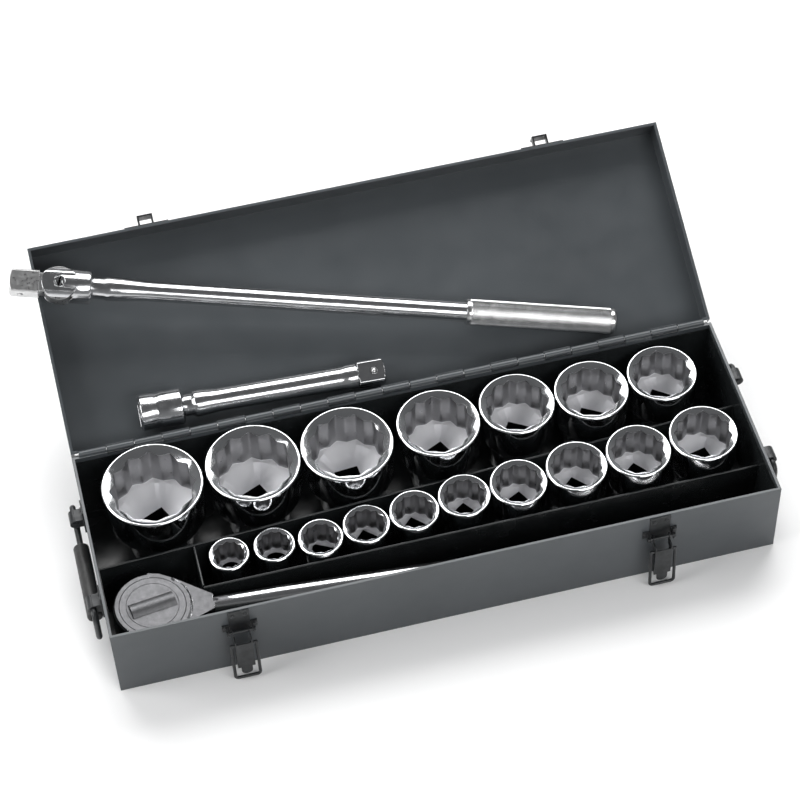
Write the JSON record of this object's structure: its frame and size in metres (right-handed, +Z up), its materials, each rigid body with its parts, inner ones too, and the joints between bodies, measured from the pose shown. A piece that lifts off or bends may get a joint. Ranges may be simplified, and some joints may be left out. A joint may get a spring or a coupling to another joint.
{
  "type": "socket wrench set in case",
  "caption": "Hinged sheet steel case holding twelve point square drive sockets, a ratchet, a breaker bar and an extension.",
  "frame": {"origin": "centre of the case's flat underside, which it stands on", "axes": "+X to the right along the case's length seen from the latches, +Y from the latches to the hinge, +Z up"},
  "size_m": [0.5755, 0.3738, 0.1612],
  "materials": {
    "case_paint": "semi-gloss dark grey enamel on sheet steel",
    "liner_black": "glossy black enamel inside the case",
    "latch_black": "black enamelled steel hardware",
    "steel_pin": "plain steel pins and rivets, darkened",
    "spring_steel": "bright spring steel and hardened balls",
    "socket_chrome": "polished chrome plate",
    "tool_chrome": "polished chrome plate on forged steel",
    "satin_chrome": "satin chrome plate",
    "knurled_chrome": "diamond knurled grip under satin chrome"
  },
  "bodies": {
    "case": {"base_shell": "case_paint", "case_liner": "liner_black", "rear_divider": "liner_black", "front_divider": "liner_black", "end_divider": "liner_black", "hinge_pin": "steel_pin", "latch_plates": "latch_black", "latch_pins": "steel_pin", "latch_rivets": "steel_pin", "handle_brackets": "latch_black", "handle_rivets": "steel_pin"},
    "lid": {"lid_shell": "case_paint", "lid_keepers": "latch_black", "keeper_rivets": "steel_pin"},
    "latch_lever_left": {"latch_lever_left": "latch_black"},
    "latch_bail_left": {"latch_bail_left": "latch_black"},
    "latch_lever_right": {"latch_lever_right": "latch_black"},
    "latch_bail_right": {"latch_bail_right": "latch_black"},
    "handle_left": {"handle_bail_left": "latch_black", "handle_grip_left": "latch_black"},
    "handle_right": {"handle_bail_right": "latch_black", "handle_grip_right": "latch_black"},
    "socket_2_3_8": {"socket_2_3_8": "socket_chrome"},
    "socket_2_1_4": {"socket_2_1_4": "socket_chrome"},
    "socket_2_3_16": {"socket_2_3_16": "socket_chrome"},
    "socket_2": {"socket_2": "socket_chrome"},
    "socket_1_13_16": {"socket_1_13_16": "socket_chrome"},
    "socket_1_3_4": {"socket_1_3_4": "socket_chrome"},
    "socket_1_11_16": {"socket_1_11_16": "socket_chrome"},
    "socket_7_8": {"socket_7_8": "socket_chrome"},
    "socket_15_16": {"socket_15_16": "socket_chrome"},
    "socket_1": {"socket_1": "socket_chrome"},
    "socket_1_1_16": {"socket_1_1_16": "socket_chrome"},
    "socket_1_1_8": {"socket_1_1_8": "socket_chrome"},
    "socket_1_3_16": {"socket_1_3_16": "socket_chrome"},
    "socket_1_5_16": {"socket_1_5_16": "socket_chrome"},
    "socket_1_7_16": {"socket_1_7_16": "socket_chrome"},
    "socket_1_1_2": {"socket_1_1_2": "socket_chrome"},
    "socket_1_5_8": {"socket_1_5_8": "socket_chrome"},
    "ratchet": {"ratchet_body": "tool_chrome", "ratchet_grip": "knurled_chrome", "ratchet_cover": "satin_chrome", "gear_ring": "steel_pin", "pawl_pin": "steel_pin", "pawl_spring": "spring_steel"},
    "ratchet_drive": {"drive_gear": "tool_chrome", "ratchet_ball_spring": "spring_steel"},
    "reversing_lever": {"reversing_lever": "satin_chrome"},
    "pawl": {"pawl": "steel_pin"},
    "ratchet_ball": {"ratchet_ball": "spring_steel"},
    "breaker_bar": {"bar_shank": "tool_chrome", "bar_grip": "knurled_chrome", "bar_pin": "satin_chrome"},
    "bar_drive_head": {"bar_drive_head": "tool_chrome", "bar_ball_spring": "spring_steel"},
    "bar_ball": {"bar_ball": "spring_steel"},
    "extension": {"extension_bar": "tool_chrome", "extension_ball_spring": "spring_steel"},
    "extension_ball": {"extension_ball": "spring_steel"}
  },
  "joints": [
    {"name": "lid_hinge", "type": "hinge", "parent": "case", "child": "lid", "pos_m": [0, 0.0904, 0.0762], "axis": [1, 0, 0], "range_deg": [0, 155.3]},
    {"name": "latch_lever_left", "type": "hinge", "parent": "case", "child": "latch_lever_left", "pos_m": [-0.17, -0.095, 0.055], "axis": [-1, 0, 0], "range_deg": [0, 140]},
    {"name": "latch_bail_left", "type": "hinge", "parent": "latch_lever_left", "child": "latch_bail_left", "pos_m": [-0.17, -0.1005, 0.045], "axis": [1, 0, 0], "range_deg": [-172, 0]},
    {"name": "latch_lever_right", "type": "hinge", "parent": "case", "child": "latch_lever_right", "pos_m": [0.17, -0.095, 0.055], "axis": [-1, 0, 0], "range_deg": [0, 140]},
    {"name": "latch_bail_right", "type": "hinge", "parent": "latch_lever_right", "child": "latch_bail_right", "pos_m": [0.17, -0.1005, 0.045], "axis": [1, 0, 0], "range_deg": [-172, 0]},
    {"name": "handle_left", "type": "hinge", "parent": "case", "child": "handle_left", "pos_m": [-0.2775, 0, 0.058], "axis": [0, 1, 0], "range_deg": [0, 95]},
    {"name": "handle_right", "type": "hinge", "parent": "case", "child": "handle_right", "pos_m": [0.2775, 0, 0.058], "axis": [0, -1, 0], "range_deg": [0, 95]},
    {"name": "lift_socket_2_3_8", "type": "slide", "parent": "case", "child": "socket_2_3_8", "axis": [0, 0, -1], "range_m": [-0.085, 0]},
    {"name": "lift_socket_2_1_4", "type": "slide", "parent": "case", "child": "socket_2_1_4", "axis": [0, 0, -1], "range_m": [-0.085, 0]},
    {"name": "lift_socket_2_3_16", "type": "slide", "parent": "case", "child": "socket_2_3_16", "axis": [0, 0, -1], "range_m": [-0.085, 0]},
    {"name": "lift_socket_2", "type": "slide", "parent": "case", "child": "socket_2", "axis": [0, 0, -1], "range_m": [-0.085, 0]},
    {"name": "lift_socket_1_13_16", "type": "slide", "parent": "case", "child": "socket_1_13_16", "axis": [0, 0, -1], "range_m": [-0.085, 0]},
    {"name": "lift_socket_1_3_4", "type": "slide", "parent": "case", "child": "socket_1_3_4", "axis": [0, 0, -1], "range_m": [-0.085, 0]},
    {"name": "lift_socket_1_11_16", "type": "slide", "parent": "case", "child": "socket_1_11_16", "axis": [0, 0, -1], "range_m": [-0.085, 0]},
    {"name": "lift_socket_7_8", "type": "slide", "parent": "case", "child": "socket_7_8", "axis": [0, 0, -1], "range_m": [-0.085, 0]},
    {"name": "lift_socket_15_16", "type": "slide", "parent": "case", "child": "socket_15_16", "axis": [0, 0, -1], "range_m": [-0.085, 0]},
    {"name": "lift_socket_1", "type": "slide", "parent": "case", "child": "socket_1", "axis": [0, 0, -1], "range_m": [-0.085, 0]},
    {"name": "lift_socket_1_1_16", "type": "slide", "parent": "case", "child": "socket_1_1_16", "axis": [0, 0, -1], "range_m": [-0.085, 0]},
    {"name": "lift_socket_1_1_8", "type": "slide", "parent": "case", "child": "socket_1_1_8", "axis": [0, 0, -1], "range_m": [-0.085, 0]},
    {"name": "lift_socket_1_3_16", "type": "slide", "parent": "case", "child": "socket_1_3_16", "axis": [0, 0, -1], "range_m": [-0.085, 0]},
    {"name": "lift_socket_1_5_16", "type": "slide", "parent": "case", "child": "socket_1_5_16", "axis": [0, 0, -1], "range_m": [-0.085, 0]},
    {"name": "lift_socket_1_7_16", "type": "slide", "parent": "case", "child": "socket_1_7_16", "axis": [0, 0, -1], "range_m": [-0.085, 0]},
    {"name": "lift_socket_1_1_2", "type": "slide", "parent": "case", "child": "socket_1_1_2", "axis": [0, 0, -1], "range_m": [-0.085, 0]},
    {"name": "lift_socket_1_5_8", "type": "slide", "parent": "case", "child": "socket_1_5_8", "axis": [0, 0, -1], "range_m": [-0.085, 0]},
    {"name": "lift_ratchet", "type": "slide", "parent": "case", "child": "ratchet", "axis": [0, 0, -1], "range_m": [-0.085, 0]},
    {"name": "ratchet_drive", "type": "hinge", "parent": "ratchet", "child": "ratchet_drive", "pos_m": [-0.233, -0.0555, 0.045], "axis": [0.0645, -0.0025, 0.9979], "continuous": true},
    {"name": "reversing_lever", "type": "hinge", "parent": "ratchet", "child": "reversing_lever", "pos_m": [-0.233, -0.0555, 0.045], "axis": [0.0645, -0.0025, 0.9979], "range_deg": [-25, 25]},
    {"name": "pawl_rock", "type": "hinge", "parent": "ratchet", "child": "pawl", "pos_m": [-0.21455, -0.05621, 0.04381], "axis": [0.0645, -0.0025, 0.9979], "range_deg": [-5, 5]},
    {"name": "ratchet_ball_press", "type": "slide", "parent": "ratchet_drive", "child": "ratchet_ball", "axis": [-0.0384, -0.9993, 0], "range_m": [-0.001, 0], "stiffness_N_per_m": 150, "springref_m": 0.0003},
    {"name": "lift_breaker_bar", "type": "slide", "parent": "case", "child": "breaker_bar", "axis": [0, -0.4179, 0.9085], "range_m": [0, 0.6781]},
    {"name": "bar_head_swing", "type": "hinge", "parent": "breaker_bar", "child": "bar_drive_head", "pos_m": [-0.2505, 0.21336, 0.14343], "axis": [0.0458, -0.4287, 0.9023], "range_deg": [-90, 90]},
    {"name": "bar_ball_press", "type": "slide", "parent": "bar_drive_head", "child": "bar_ball", "axis": [-0.2624, -0.8767, -0.4032], "range_m": [-0.001, 0], "stiffness_N_per_m": 150, "springref_m": 0.0003},
    {"name": "lift_extension", "type": "slide", "parent": "case", "child": "extension", "axis": [0, -0.4179, 0.9085], "range_m": [0, 0.6781]},
    {"name": "extension_ball_press", "type": "slide", "parent": "extension", "child": "extension_ball", "axis": [0.0262, -0.4185, 0.9078], "range_m": [-0.001, 0], "stiffness_N_per_m": 150, "springref_m": 0.0003}
  ],
  "couplings": [
    {"joint": "lift_breaker_bar", "follows": "lid_hinge", "m_per_rad": 0.25},
    {"joint": "lift_extension", "follows": "lid_hinge", "m_per_rad": 0.25},
    {"joint": "pawl_rock", "follows": "reversing_lever", "ratio": 0.2}
  ]
}
